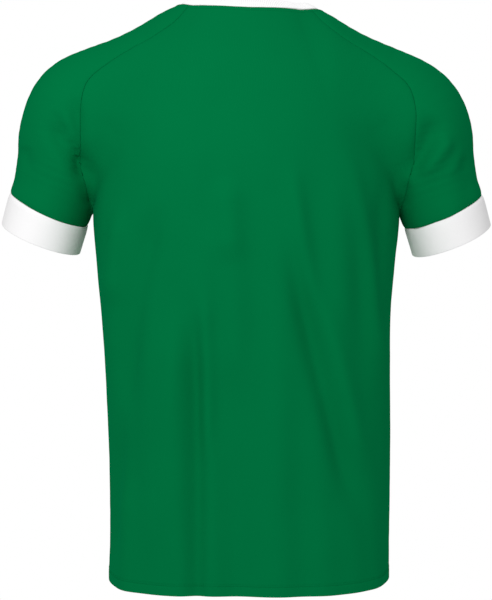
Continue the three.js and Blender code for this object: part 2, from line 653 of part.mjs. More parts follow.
// A closed cloth wall on a grid of outer points.
function clothWall(grid, normals, thickness, closed) {
  const rows = grid.length;
  const columns = grid[0].length;
  const vertices = [];
  for (const depth of [0, thickness]) {
    grid.forEach((row, i) =>
      row.forEach((p, j) => vertices.push(p.clone().addScaledVector(normals[i][j], -depth))),
    );
  }
  const index = (layer, i, j) => layer * rows * columns + i * columns + (j % columns);
  const triangles = [];
  const apart = (a, b) => vertices[a].distanceToSquared(vertices[b]);
  const quad = (a, b, c, d) => {
    if (apart(a, c) < apart(b, d)) triangles.push(a, b, c, a, c, d);
    else triangles.push(a, b, d, b, c, d);
  };
  const lastColumn = closed ? columns : columns - 1;
  for (let i = 0; i < rows - 1; i += 1) {
    for (let j = 0; j < lastColumn; j += 1) {
      quad(index(0, i, j), index(0, i + 1, j), index(0, i + 1, j + 1), index(0, i, j + 1));
      quad(index(1, i, j), index(1, i, j + 1), index(1, i + 1, j + 1), index(1, i + 1, j));
    }
  }
  for (let j = 0; j < lastColumn; j += 1) {
    quad(index(0, 0, j), index(0, 0, j + 1), index(1, 0, j + 1), index(1, 0, j));
    const i = rows - 1;
    quad(index(0, i, j), index(1, i, j), index(1, i, j + 1), index(0, i, j + 1));
  }
  if (!closed) {
    for (let i = 0; i < rows - 1; i += 1) {
      quad(index(0, i, 0), index(1, i, 0), index(1, i + 1, 0), index(0, i + 1, 0));
      const j = columns - 1;
      quad(index(0, i, j), index(0, i + 1, j), index(1, i + 1, j), index(1, i, j));
    }
  }
  let volume = 0;
  for (let t = 0; t < triangles.length; t += 3) {
    const [a, b, c] = triangles.slice(t, t + 3).map((k) => vertices[k]);
    volume += a.dot(b.clone().cross(c));
  }
  if (volume < 0) triangles.reverse();
  const geometry = new THREE.BufferGeometry();
  const places = vertices.flatMap((v) => v.toArray());
  geometry.setAttribute("position", new THREE.Float32BufferAttribute(places, 3));
  geometry.setIndex(triangles);
  geometry.computeVertexNormals();
  return geometry;
}

const greenKnit = () => new THREE.MeshStandardMaterial({ color: 0x007a45, roughness: 0.55, metalness: 0 });
const whiteKnit = () => new THREE.MeshStandardMaterial({ color: 0xf4f4f4, roughness: 0.7, metalness: 0 });

function piece(name, geometry, material) {
  const mesh = new THREE.Mesh(geometry, material);
  mesh.name = name;
  return mesh;
}

// Each row of a grid moved out along its normals, by its own amount and by what lift adds.
const raise = (grid, normals, proud, lift = () => 0) =>
  grid.map((row, i) =>
    row.map((p, j) => p.clone().addScaledVector(normals[i][j], proud[i] + lift(p, normals[i][j]))),
  );

function greenPiece(name, points, proud) {
  const normals = points.map((row) => row.map(outwards));
  const folded = inset(raise(points, normals, proud, foldHeight), false);
  return piece(name, clothWall(folded, normals, WALL, false), greenKnit());
}

function cuffPiece(name, side) {
  const points = cuffBand(side);
  const normals = points.map((row) => row.map(outwards));
  const outer = inset(raise(points, normals, points.map(() => CUFF.proud)), true);
  return piece(name, clothWall(outer, normals, CUFF_WALL, true), whiteKnit());
}

// The rib's normals are square to its own lean and its run round the neck, but for its sewn edge.
function ribPiece(name) {
  const grid = neckRib();
  const normals = grid.map((row, i) =>
    row.map((p, j) => {
      if (i === 0) return outwards(p);
      const around = row[(j + 1) % row.length].clone().sub(row.at(j - 1));
      const up = grid.at(-1)[j].clone().sub(grid[0][j]);
      const normal = around.cross(up).normalize();
      return normal.x * (p.x - NECK.shift) + normal.y * p.y < 0 ? normal.negate() : normal;
    }),
  );
  return piece(name, clothWall(grid, normals, RIB_WALL, true), whiteKnit());
}

const jersey = new THREE.Group();
for (const [name, facing] of [["back_panel", 1], ["front_panel", -1]]) {
  const { points, proud } = bodyPanel(facing);
  jersey.add(greenPiece(name, points, proud));
}
for (const [name, side] of [["left", LEFT], ["right", RIGHT]]) {
  const points = sleevePanel(side);
  jersey.add(greenPiece(`sleeve_${name}`, points, points.map(() => 0)));
  jersey.add(cuffPiece(`cuff_${name}`, side));
}
jersey.add(ribPiece("neck_rib"));

export default jersey;
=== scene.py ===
# A short-sleeved football jersey in green micro-mesh knit, with white cuffs and a white neck rib.
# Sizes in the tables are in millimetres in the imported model's frame; meshes are made in metres.
# The wearer's left is +X, the back faces +Y, and the origin is midway across the neck.
import math

import bpy
import numpy as np
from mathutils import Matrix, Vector


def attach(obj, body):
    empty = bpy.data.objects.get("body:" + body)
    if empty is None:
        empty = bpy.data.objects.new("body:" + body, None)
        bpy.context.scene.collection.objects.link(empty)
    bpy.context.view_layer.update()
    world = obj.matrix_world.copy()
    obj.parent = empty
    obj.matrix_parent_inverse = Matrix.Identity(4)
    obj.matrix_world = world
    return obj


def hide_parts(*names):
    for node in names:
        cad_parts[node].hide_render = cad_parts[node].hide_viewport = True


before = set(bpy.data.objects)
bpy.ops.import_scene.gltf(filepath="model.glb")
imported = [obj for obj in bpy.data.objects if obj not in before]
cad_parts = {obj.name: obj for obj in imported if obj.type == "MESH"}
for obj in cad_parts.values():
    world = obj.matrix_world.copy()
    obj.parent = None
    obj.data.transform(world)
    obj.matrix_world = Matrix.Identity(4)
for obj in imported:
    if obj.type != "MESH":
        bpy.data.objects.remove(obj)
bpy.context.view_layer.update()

MM = 0.001
LEFT = 1
RIGHT = -1

# The cloth itself.
SHELL = 1.0
CUFF_SHELL = 1.8
RIB_SHELL = 1.8
SEAM_GAP = 0.3

# Hem edge at the side seams, mid back and mid front, and how flat its curve is.
HEM = {"side": -692, "back": -704, "front": -700, "curve": 3}
NECK = {"half_width": 84, "shift": -6, "back": 62, "back_z": -9, "back_curve": 1.5, "front": 73,
        "front_z": -76}
SHOULDER_ROLL = {"slope": 0.01, "low": -150, "high": -70}
NECK_SEAM_ANGLE = {"back": 61.5, "front": 116}
# The neck rib: its height, how far it leans in, how much it swells, where its knit fades in from the
# seam and the fold, how much knit is left at the fold, and the points round its smooth first line.
RIB = {"height": 16, "lean_back": 45, "lean_side": 62, "lean_front": 42, "swell": 0.5, "fade": 2.0,
       "fold_knit": 0.35, "points": 720}
# The cuff's outer side sits higher than its inner one and its back a little lower than its front, in
# degrees from square to the arm. The wearer's left cuff sits a little higher up its sleeve.
CUFF = {"length": 38, "proud": 0.5, "seam_tilt": 5.5, "edge_tilt": 5, "dip": 3, "left_raise": 0.08}
SECTION_POWER = 2.25
BODY_SWAY = {"x": -4, "low": -520, "high": -280}
CUFF_SEAM_STATION = 8
AXIS_STEPS_PER_SECTION = 4
# The stations of the sleeve where the shoulder line starts and the underarm is looked for.
SHOULDER_STATIONS = {"top": 2, "low": 5}
AXIS_PROBE = 0.05
BRIDGE = {"least": 0.5, "low": 4, "high": 62, "low_z": -245, "high_z": -130, "inner_x": 35, "outer_x": 110}
BACK_RAGLAN_RAISE = 4

# Level sections of the body: z, half width, depth behind and depth in front.
BODY_SECTIONS = [
    (40, 40, 30, 16),
    (0, 74, 58, 38),
    (-40, 110, 84, 56),
    (-80, 143, 103, 76),
    (-120, 163, 114, 97),
    (-160, 175, 121, 110),
    (-200, 182, 124, 117),
    (-250, 186.5, 124, 120),
    (-310, 182, 122, 119.5),
    (-380, 177, 119, 117.5),
    (-450, 173.5, 117, 116),
    (-530, 171.5, 116, 115),
    (-620, 170.8, 116.5, 114.5),
    (-720, 170.3, 117.5, 114.5),
]

# Sections of the left sleeve along its axis: x, y, z, half width across the arm, half depth.
SLEEVE_SECTIONS = [
    (10, 0, -32, 46, 44),
    (60, 0, -55, 47.6, 46),
    (114, 0, -82, 54.2, 54),
    (169, 0, -108, 60.6, 62),
    (199, 0, -127, 64, 66),
    (211, -1, -155, 64.5, 67),
    (218, -4, -185, 60, 65),
    (231.5, -9, -222, 52.5, 60.5),
    (241.4, -12.3, -247.3, 51.6, 58),
    (252.6, -17.3, -284, 50.6, 56.5),
    (264.4, -22.5, -320, 49.2, 55),
]

# Raglan seams seen square from behind and from in front: x, z.
BACK_RAGLAN = [
    (93, -26),
    (118, -45),
    (144, -60),
    (168, -76),
    (187, -92),
    (197, -110),
    (200, -135),
    (199.5, -160),
    (197, -190),
    (192, -216),
    (188.5, -236),
]
FRONT_RAGLAN = [
    (92, -50),
    (112, -72),
    (136, -96),
    (158, -122),
    (173, -150),
    (182, -182),
    (186, -212),
    (187.5, -236),
]

# Folds on a bend through three points, seen square from behind (1) or from in front (-1):
# face, x1, z1, x2, z2, x3, z3, height (below zero for a trough), spread (its half width).
FOLDS = [
    (1, 60, -340, 60, -520, 60, -700, -4.5, 11),
    (1, 94, -350, 97, -520, 104, -690, 3.5, 20),
    (1, 48, -330, 47, -440, 49, -560, 2.5, 9),
    (1, -50, -275, -91, -450, -150, -665, -5, 14),
    (1, -62, -290, -112, -450, -150, -570, 2.5, 13),
    (1, 26, -210, 22, -264, 18, -320, 2.5, 16),
    (1, -48, -180, -66, -290, -84, -392, 2.5, 10),
    (1, -120, -170, -149, -327, -165, -460, 2.8, 11),
    (1, -163, -200, -165, -310, -171, -430, -2.5, 13),
    (1, 104, -240, 128, -350, 152, -540, -3.5, 14),
    (1, 149, -235, 156, -307, 160, -370, 3, 11),
    (1, 148, -480, 158, -590, 160, -690, -3.5, 12),
    (1, 184, -226, 209, -182, 245, -138, -4.5, 11),
    (1, 205, -110, 199, -165, 190, -225, -3, 9),
    (1, -193, -222, -212, -175, -233, -135, -4, 13),
    (1, -200, -214, -228, -184, -245, -158, 3, 9),
    (-1, 128, -205, 108, -330, 76, -470, -4, 15),
    (-1, -132, -215, -96, -350, -52, -480, -4.5, 15),
    (-1, -108, -225, -72, -350, -34, -470, 3, 14),
    (-1, -82, -470, -88, -580, -90, -700, -4.5, 13),
    (-1, -112, -480, -120, -590, -122, -700, 3.5, 17),
    (-1, 52, -420, 46, -560, 44, -700, -4, 14),
    (-1, 82, -440, 84, -580, 88, -700, 3.5, 19),
    (-1, 152, -250, 158, -350, 161, -450, 3, 12),
    (-1, 10, -170, 2, -260, -8, -350, 2.5, 18),
    (-1, 180, -222, 202, -176, 232, -136, -4.5, 11),
    (-1, -182, -226, -206, -184, -240, -150, -4.5, 12),
    (-1, -176, -186, -196, -150, -222, -118, 3, 11),
]

# Finer creases of the same kind, in the same columns.
CREASES = [
    (1, 30, -400, 26, -560, 20, -704, -7.0, 30),
    (1, 86, -360, 88, -520, 92, -704, 3.0, 13),
    (1, -150, -440, -152, -560, -150, -704, -3.0, 22),
    (1, 46, -250, 46, -330, 50, -420, 2.0, 11),
    (1, 142, -560, 134, -640, 132, -704, 4.0, 14),
    (1, 84, -330, 86, -440, 88, -560, 1.0, 7),
    (1, 146, -270, 150, -390, 156, -460, -1.6, 7),
    (1, 10, -430, 8, -520, 4, -640, -0.9, 12),
    (1, -14, -380, -18, -500, -20, -660, 1.0, 12),
    (1, 96, -560, 100, -620, 104, -690, -1.0, 8),
    (1, -160, -480, -163, -580, -164, -690, -1.4, 9),
    (1, 196, -214, 214, -176, 226, -146, 1.4, 5),
    (1, 212, -166, 222, -148, 232, -128, -1.8, 6),
    (1, 198, -200, 204, -160, 212, -126, 1.2, 5),
    (1, 267, -170, 265, -186, 262, -202, -2.0, 6),
    (1, 186, -246, 190, -232, 194, -214, -2.2, 6),
    (1, -239, -212, -252, -192, -262, -166, 1.6, 5),
    (1, -207, -200, -220, -176, -236, -152, -1.2, 5),
    (1, -186, -246, -190, -230, -196, -212, -2.2, 6),
    (1, -263, -184, -264, -194, -265, -206, -1.4, 5),
    (-1, 120, -250, 104, -340, 84, -430, 1.2, 8),
    (-1, -120, -300, -104, -380, -84, -460, -1.2, 8),
    (-1, 30, -300, 26, -420, 24, -560, -1.0, 12),
    (-1, -20, -420, -24, -540, -26, -680, 1.0, 12),
    (-1, 140, -470, 144, -580, 146, -690, -1.6, 10),
    (-1, -150, -420, -152, -540, -152, -680, 1.6, 11),
    (-1, 194, -212, 212, -176, 226, -146, 1.4, 5),
    (-1, -196, -216, -214, -186, -234, -158, 1.4, 5),
    (-1, 186, -246, 189, -232, 192, -214, -2.2, 6),
    (-1, -186, -246, -189, -232, -192, -214, -2.2, 6),
]
FOLD_TAPER = 0.3
# A fold fades out where the cloth turns away, between these shares of facing its side.
FOLD_FACING = (-0.1, 0.35)
BEND_STEPS = 16
# How many times deeper and wider the cloth's folds and creases are than their tables say.
FOLD_GAIN = {"depth": 2.3, "width": 1.1}
CREASE_GAIN = {"depth": 1.2, "width": 1.3}

# Coarse grid steps, and how many fine steps each is split into.
STEPS = {"yoke": 11, "body": 16, "panel": 36, "sleeve": 20, "sleeve_end": 2, "cuff": 3}
FINER = {"down": 7, "across": 6, "sleeve": 8, "cuff": 8, "row": 3, "seam": 8, "shoulder": 24}
CUFF_COLUMNS = 150

# How points are looked for on the cloth: the farthest way from the middle, from outside and from the
# sleeve's axis, the stride, the halvings after it, and the least square of the slope divided by.
REACH = {"body": 330, "outside": 180.0, "sleeve": 120}
STRIDE = 2.0
HALVINGS = 16
STATION_HALVINGS = 30
LEAST_SLOPE = 0.05
# The level grid over which the underarm's saddle is looked for, and the drop to the chest row.
UNDERARM_SEARCH = {"y": (-30.0, 21.0, 1.0), "x": (178.0, 200.0, 0.5), "z": -200.0, "reach": 120,
                   "stride": 0.5}
CHEST_DROP = 1.5

# How much the swells are drawn out along each axis, and where the upright ones fade in: between these
# depths below the neck, and between these shares of facing front or back.
DRAPE_STRETCH = np.array([1, 1, 0.1])
DRAPE_START = (90, 330)
DRAPE_FACING = (0.2, 0.8)
SWELL_STRETCH = np.array([1, 1, 0.5])

# The dip of the cloth into a seam, and how far its puckers reach.
SEAM_DIP = {"depth": 1.5, "reach": 3.0, "pucker_reach": 9}

# The neck's seam allowance lies under the cloth as a low ridge, with one row of stitches.
NECK_TRIM = {"ridge": 0.7, "soft": 1.0, "rows": [6.0], "groove": 0.5, "groove_width": 0.9}
# The turned-up hem and its two rows of stitches, measured up from the edge.
HEM_TRIM = {"ridge": 0.5, "soft": 0.9, "rows": [14.4, 11.8], "groove": 0.45, "groove_width": 0.8}

# Distances from an edge at which a grid gets its own rows or columns.
SEAM_STEPS = [0, 0.5, 1.1, 1.9, 3.0, 4.6, 6.8]
NECK_STEPS = [0, 0.5, 1.1, 1.9, 3.0, 4.2, 5.0, 5.5, 6.0, 6.5, 7.0, 7.8, 9.2]
HEM_STEPS = [0.02, 0.12, 0.3, 0.6, 1.2, 3, 6, 9, 10.6, 11.3, 11.8, 12.3, 13, 13.8, 14.4, 15, 15.8, 17.5]
FOLD_STEPS = [0.02, 0.15, 0.4, 0.9, 1.8]
STEP = {"panel_down": 4.2, "panel_across": 2.9, "sleeve": 2.8, "cuff": 2.6}
RIB_STEPS = [0, 0.6, 1.3, 2.2, 3.6, 5.2, 7.0, 9.0, 11.0, 12.6]
# The last moves of a finished grid onto the cloth.
SETTLE = {"rounds": 2, "most": 3}

# The pattern map is in metres of cloth, scaled a little so that both layers fit side by side.
UV_SCALE = 0.9 * MM
INNER_UV_SHIFT = 0.5

# The neck rib's knit columns and how far each stands out.
KNIT = {"pitch": 2.4, "height": 0.32, "columns": 6}
# A stitch: its spacing, length, radius, sides and rings, how deep it sits, and how much its ends
# taper and dive into the cloth.
STITCH = {"pitch": 2.8, "length": 2.3, "radius": 0.24, "sides": 6, "rings": 5, "sink": 0.12,
          "taper": 0.8, "dive": 1.6}

# The micro-mesh: small holes in a diagonal lattice, this far apart along and across.
MESH_PITCH = 1.9
# Knit colours as plain light amounts, worked out from how bright the cloth looks in even light.
GREEN = (0.0003, 0.155, 0.0455)
WHITE = (0.93, 0.925, 0.93)
# The rib's courses are this far apart.
COURSE_PITCH = 1.6

# The camera looks level at the back, and one pixel shows 1.22 mm at the garment's middle.
IMAGE_HEIGHT = 600
SENSOR = 36
VIEW = {"distance": 2.6, "z": -0.357, "mm_per_pixel": 1.22}
# The strength of the even light, and the lights' names, places, sizes and powers.
AMBIENT = 0.6
LIGHTS = [
    ("key", (0.42, 1.6, 0.6), 0.8, 18),
    ("front", (-0.3, -2.4, 0.9), 1.4, 28),
]
FLOOR = {"radius": 4, "z": -1.45, "corners": 128, "grey": 0.86}


def smooth_step(low, high, value):
    t = np.clip((value - low) / (high - low), 0, 1)
    return t * t * (3 - 2 * t)


def between(a, b, t):
    return a + (b - a) * t


def unit(v):
    return v / np.maximum(np.linalg.norm(v, axis=-1, keepdims=True), 1e-9)


def read_table(keys, values, at):
    """A table's columns read between its rows, on a smooth curve through them."""
    keys = np.asarray(keys, float)
    values = np.asarray(values, float)
    if keys[-1] < keys[0]:
        keys = -keys
        at = -np.asarray(at, float)
    at = np.clip(np.asarray(at, float), keys[0], keys[-1])
    last = len(keys) - 1
    i = np.clip(np.searchsorted(keys, at, side="right") - 1, 0, last - 1)
    before = np.maximum(np.arange(last + 1) - 1, 0)
    after = np.minimum(np.arange(last + 1) + 1, last)
    slopes = (values[after] - values[before]) / (keys[after] - keys[before])[:, None]
    width = keys[i + 1] - keys[i]
    t = (at - keys[i]) / width
    t = t[..., None]
    width = width[..., None]
    return (
        (2 * t**3 - 3 * t**2 + 1) * values[i]
        + (t**3 - 2 * t**2 + t) * width * slopes[i]
        + (3 * t**2 - 2 * t**3) * values[i + 1]
        + (t**3 - t**2) * width * slopes[i + 1]
    )


BODY_TABLE = np.array(BODY_SECTIONS, float)
SLEEVE_TABLE = np.array(SLEEVE_SECTIONS, float)
STATIONS = np.arange(len(SLEEVE_SECTIONS))
AXIS = read_table(
    STATIONS,
    SLEEVE_TABLE,
    np.arange((len(SLEEVE_SECTIONS) - 1) * AXIS_STEPS_PER_SECTION + 1) / AXIS_STEPS_PER_SECTION,
)


def sway(z):
    return BODY_SWAY["x"] * (1 - smooth_step(BODY_SWAY["low"], BODY_SWAY["high"], z))


def body_distance(p):
    """How far points are outside the body of the garment, measured level from its middle."""
    side, back, front = np.moveaxis(read_table(BODY_TABLE[:, 0], BODY_TABLE[:, 1:], p[..., 2]), -1, 0)
    x = p[..., 0] - sway(p[..., 2])
    y = p[..., 1]
    reach = np.maximum(np.hypot(x, y), 1e-6)
    across = np.abs(x / side) ** SECTION_POWER
    deep = np.abs(y / np.where(y > 0, back, front)) ** SECTION_POWER
    return reach - reach / np.maximum(across + deep, 1e-12) ** (1 / SECTION_POWER)


def sleeve_distance(p):
    """How far points, given on the left side, are outside the sleeve."""
    best = np.full(p.shape[:-1], np.inf)
    for a, b in zip(AXIS[:-1], AXIS[1:]):
        squash = np.array([1, a[3] / a[4], 1])
        step = (b[:3] - a[:3]) * squash
        offset = (p - a[:3]) * squash
        t = np.clip(offset @ step / (step @ step), 0, 1)
        away = np.linalg.norm(offset - t[..., None] * step, axis=-1)
        best = np.minimum(best, away - between(a[3], b[3], t))
    return best


def cloth_field(at):
    """Below zero inside the garment, zero on its cloth."""
    roll = SHOULDER_ROLL["slope"] * smooth_step(SHOULDER_ROLL["low"], SHOULDER_ROLL["high"], at[..., 2])
    p = at.copy()
    p[..., 2] = at[..., 2] - roll * at[..., 0]
    body = body_distance(p)
    mirrored = p.copy()
    mirrored[..., 0] = np.abs(p[..., 0])
    sleeve = sleeve_distance(mirrored)
    rise = smooth_step(BRIDGE["low_z"], BRIDGE["high_z"], p[..., 2])
    inwards = smooth_step(BRIDGE["inner_x"], BRIDGE["outer_x"], mirrored[..., 0])
    width = np.maximum(BRIDGE["least"], between(BRIDGE["low"], BRIDGE["high"], rise) * inwards)
    share = np.clip(0.5 + 0.5 * (sleeve - body) / width, 0, 1)
    return between(sleeve, body, share) - width * share * (1 - share)


def field_slope(p, step=0.4):
    slope = np.empty_like(p)
    for axis in range(3):
        move = np.zeros(3)
        move[axis] = step
        slope[..., axis] = (cloth_field(p + move) - cloth_field(p - move)) / (2 * step)
    return slope


def outwards(p):
    return unit(field_slope(p))


def onto_cloth(start, rounds=4, most=20):
    """Moves points onto the cloth along the steepest way."""
    p = np.array(start, float)
    for _ in range(rounds):
        slope = field_slope(p)
        move = -cloth_field(p) / np.maximum((slope**2).sum(-1), LEAST_SLOPE)
        p = p + slope * np.clip(move, -most, most)[..., None]
    return p


def way_out(start, way, reach=REACH["body"], stride=STRIDE, side=1):
    """Where straight ways out from inside, or ways in from outside when side is -1, first meet the cloth."""
    start, way = np.broadcast_arrays(np.asarray(start, float), np.asarray(way, float))
    low = np.zeros(start.shape[:-1])
    going = np.ones(low.shape, bool)
    for _ in range(int(reach / stride)):
        if not going.any():
            break
        ahead = start[going] + way[going] * (low[going] + stride)[:, None]
        before = side * cloth_field(ahead) < 0
        low[going] += np.where(before, stride, 0)
        going[going] = before
    high = low + stride
    for _ in range(HALVINGS):
        middle = (low + high) / 2
        before = side * cloth_field(start + way * middle[..., None]) < 0
        low = np.where(before, middle, low)
        high = np.where(before, high, middle)
    return start + way * ((low + high) / 2)[..., None]


def seen_from(facing, x, z):
    """The first places where level ways in from behind or from in front meet the cloth."""
    start = np.stack([x, np.full_like(x, facing * REACH["outside"]), z], -1)
    return way_out(start, [0, -facing, 0], reach=REACH["outside"], side=-1)


def find_underarm():
    """The underarm point on the left: the saddle below which body and sleeve part."""
    search = UNDERARM_SEARCH
    ys = np.arange(*search["y"])
    xs = np.arange(*search["x"])
    y, x = np.meshgrid(ys, xs, indexing="ij")
    start = np.stack([x, y, np.full_like(x, search["z"])], -1)
    down = np.array([0.0, 0.0, -1.0])
    hit = way_out(start, down, reach=search["reach"], stride=search["stride"])
    arch = hit[..., 2].argmax(1)
    ridge = hit[np.arange(len(ys)), arch]
    return ridge[ridge[:, 2].argmin()]


UNDERARM = find_underarm()
CHEST_Z = UNDERARM[2] - CHEST_DROP


def underarm(side):
    return UNDERARM * np.array([side, 1, 1])


def neck_seam(degrees):
    """Points of the neck seam, by their angle from mid back towards the wearer's left."""
    a = np.radians(np.asarray(degrees, float))
    share = np.abs(np.cos(a))
    to_front = np.cos(a) < 0
    x = NECK["shift"] + NECK["half_width"] * np.sin(a)
    y = np.where(to_front, -NECK["front"], NECK["back"]) * share
    z = np.where(to_front, NECK["front_z"] * share, NECK["back_z"] * share ** NECK["back_curve"])
    return onto_cloth(np.stack([x, y, z], -1))


def neck_edge(start, end, steps):
    return neck_seam(np.linspace(start, end, steps + 1))


BACK_ANGLE = NECK_SEAM_ANGLE["back"]
FRONT_ANGLE = NECK_SEAM_ANGLE["front"]
NECK_EDGES = {
    "back": neck_edge(BACK_ANGLE, -BACK_ANGLE, STEPS["panel"]),
    "front": neck_edge(360 - FRONT_ANGLE, FRONT_ANGLE, STEPS["panel"])[::-1],
    "left": neck_edge(BACK_ANGLE, FRONT_ANGLE, STEPS["sleeve"]),
    "right": neck_edge(-BACK_ANGLE, -FRONT_ANGLE, STEPS["sleeve"]),
}


def lengths_along(line):
    return np.concatenate([[0], np.cumsum(np.linalg.norm(np.diff(line, axis=0), axis=1))])


def evenly(line, steps):
    """Points spaced evenly along a line of points."""
    along = lengths_along(line)
    at = np.linspace(0, along[-1], steps + 1)
    return np.stack([np.interp(at, along, line[:, k]) for k in range(3)], -1)


def raglan_seam(side, facing):
    """A raglan seam from the neck to the underarm."""
    table = BACK_RAGLAN if facing > 0 else FRONT_RAGLAN
    start = neck_seam([side * (BACK_ANGLE if facing > 0 else FRONT_ANGLE)])[0]
    raise_by = BACK_RAGLAN_RAISE * side if facing > 0 else 0
    rows = [(side * (start[0] - NECK["shift"]), start[2]), *table, (UNDERARM[0], UNDERARM[2])]
    fine = FINER["seam"]
    steps = (len(rows) - 1) * fine
    at = np.arange(1, steps)
    share = at / steps
    xz = read_table(np.arange(len(rows)), rows, at / fine)
    z = xz[:, 1] + raise_by * np.sin(np.pi * share)
    inner = seen_from(facing, side * xz[:, 0] + NECK["shift"] * (1 - share), z)
    return evenly(np.vstack([start, inner, underarm(side)]), STEPS["yoke"])


def flat_row(start, middle, end, centre, steps):
    """A row of cloth points where a flat cut through three of them meets the cloth."""
    first = unit(start - centre)
    facing = unit(np.cross(first, middle - centre))
    second = np.cross(facing, first)
    sweep = math.atan2((end - centre) @ second, (end - centre) @ first) % (2 * math.pi)
    fine = FINER["row"] * steps
    a = sweep * np.arange(1, fine)[:, None] / fine
    inner = way_out(centre, first * np.cos(a) + second * np.sin(a))
    return evenly(np.vstack([start, inner, end]), steps)


def spread_between(top, bottom, start, end):
    """A grid spread between its four edges, its inner rows sent level from the middle onto the cloth."""
    rows = len(start) - 1
    columns = len(top) - 1
    fine = FINER["row"] * columns
    u = np.arange(fine + 1) / fine
    on_top = np.stack([np.interp(u * columns, np.arange(columns + 1), top[:, k]) for k in range(3)], -1)
    on_bottom = np.stack([np.interp(u * columns, np.arange(columns + 1), bottom[:, k]) for k in range(3)], -1)
    u = u[:, None]
    grid = [top]
    for i in range(1, rows):
        v = i / rows
        p = on_top * (1 - v) + on_bottom * v + start[i] * (1 - u) + end[i] * u
        p -= top[0] * (1 - u) * (1 - v) + top[-1] * u * (1 - v)
        p -= bottom[0] * (1 - u) * v + bottom[-1] * u * v
        middle = p * np.array([0, 0, 1])
        line = way_out(middle, unit(p - middle))
        line[0] = start[i]
        line[-1] = end[i]
        grid.append(evenly(line, columns))
    grid.append(bottom)
    return grid


def hem_height(degrees):
    """The hem edge's height at a level angle, where 0 is the wearer's left and 90 is mid back."""
    turn = np.sin(np.radians(degrees))
    drop = np.where(turn > 0, HEM["back"], HEM["front"]) - HEM["side"]
    return HEM["side"] + drop * (1 - (1 - np.abs(turn)) ** HEM["curve"])


def body_row(facing, share, rise):
    """One level row of a body panel below the underarms, from the wearer's left side to the right one."""
    degrees = np.linspace(0, 180, FINER["row"] * STEPS["panel"] + 1)
    z = between(CHEST_Z, hem_height(facing * degrees) + rise, share)
    a = np.radians(degrees)
    middle = np.stack([sway(z), np.full_like(z, UNDERARM[1] * (1 - share)), z], -1)
    way = np.stack([np.cos(a), facing * np.sin(a), np.zeros_like(a)], -1)
    line = way_out(middle, way)
    if share == 0:
        line[0] = underarm(LEFT)
        line[-1] = underarm(RIGHT)
    return evenly(line, STEPS["panel"])


def body_grid(facing):
    neck = NECK_EDGES["back"] if facing > 0 else NECK_EDGES["front"]
    chest = body_row(facing, 0, 0)
    grid = spread_between(neck, chest, raglan_seam(LEFT, facing), raglan_seam(RIGHT, facing))
    grid += [body_row(facing, i / STEPS["body"], 0) for i in range(1, STEPS["body"] + 1)]
    return np.array(grid)


def sleeve_axis(station):
    return read_table(STATIONS, SLEEVE_TABLE, station)


def cuff_seam_station(side):
    return CUFF_SEAM_STATION - (CUFF["left_raise"] if side == LEFT else 0)


def sleeve_frame(side, station):
    """The axis point at a station, the way along, out from the body, and to the back."""
    centre = sleeve_axis(station)[:3]
    along = unit(sleeve_axis(station + AXIS_PROBE)[:3] - centre)
    back = unit(np.array([0, 1, 0]) - along * along[1])
    out = unit(np.cross(back, along))
    if out[0] < 0:
        out = -out
    mirror = np.array([side, 1, 1])
    return centre * mirror, along * mirror, back * mirror, out * mirror


def sleeve_ring(side, station, steps, level, tilt=CUFF["seam_tilt"]):
    """A ring round the sleeve from the underarm round the back: level at 1, tilted as the cuff at 0."""
    centre, along, back, out = sleeve_frame(side, station)
    out = unit(out - along * math.tan(math.radians(tilt * (1 - level))))
    back = back + along * math.tan(math.radians(CUFF["dip"]))
    back = unit(between(back, np.array([0, 1, 0]), level))
    a = np.linspace(0, 2 * np.pi, steps + 1)[:, None]
    way = unit(back * np.sin(a) - out * np.cos(a))
    return way_out(centre, way, reach=REACH["sleeve"])


def find_underarm_station():
    low = SHOULDER_STATIONS["low"]
    high = CUFF_SEAM_STATION
    for _ in range(STATION_HALVINGS):
        middle = (low + high) / 2
        centre, along, _, _ = sleeve_frame(LEFT, middle)
        if (UNDERARM - centre) @ along > 0:
            low = middle
        else:
            high = middle
    return low


UNDERARM_STATION = find_underarm_station()


def shoulder_line(side, neck_point, ring_point):
    """Over the shoulder and down the outside of the sleeve, from the neck to the underarm's ring."""
    first = SHOULDER_STATIONS["top"]
    fine = FINER["shoulder"]
    line = [neck_point]
    for i in range(fine):
        centre, _, _, out = sleeve_frame(side, between(first, UNDERARM_STATION, i / fine))
        line.append(way_out(centre[None], out[None], reach=REACH["sleeve"])[0])
    line.append(ring_point)
    return evenly(np.array(line), STEPS["yoke"])


def sleeve_grid(side):
    """A raglan sleeve down to its cuff seam, from the back seam over the shoulder to the front seam."""
    steps = STEPS["sleeve"]
    neck = NECK_EDGES["left" if side == LEFT else "right"]
    ring = sleeve_ring(side, UNDERARM_STATION, steps, 1)
    ring[0] = underarm(side)
    ring[-1] = underarm(side)
    back = raglan_seam(side, 1)
    front = raglan_seam(side, -1)
    top = shoulder_line(side, neck[steps // 2], ring[steps // 2])
    grid = [neck]
    for i in range(1, STEPS["yoke"]):
        centre = between((back[i] + front[i]) / 2, top[i], 0.5)
        grid.append(flat_row(back[i], top[i], front[i], centre, steps))
    grid.append(ring)
    for i in range(1, STEPS["sleeve_end"] + 1):
        share = i / STEPS["sleeve_end"]
        station = between(UNDERARM_STATION, cuff_seam_station(side), share)
        grid.append(sleeve_ring(side, station, steps, 1 - share))
    return np.array(grid)


def finer(grid, down, across):
    """A grid split into finer steps on smooth curves through its points."""
    rows, columns, _ = grid.shape
    at_rows = np.linspace(0, rows - 1, (rows - 1) * down + 1)
    at_columns = np.linspace(0, columns - 1, (columns - 1) * across + 1)
    tall = read_table(np.arange(rows), grid.reshape(rows, -1), at_rows).reshape(-1, columns, 3)
    wide = tall.transpose(1, 0, 2).reshape(columns, -1)
    return read_table(np.arange(columns), wide, at_columns).reshape(-1, len(at_rows), 3).transpose(1, 0, 2)


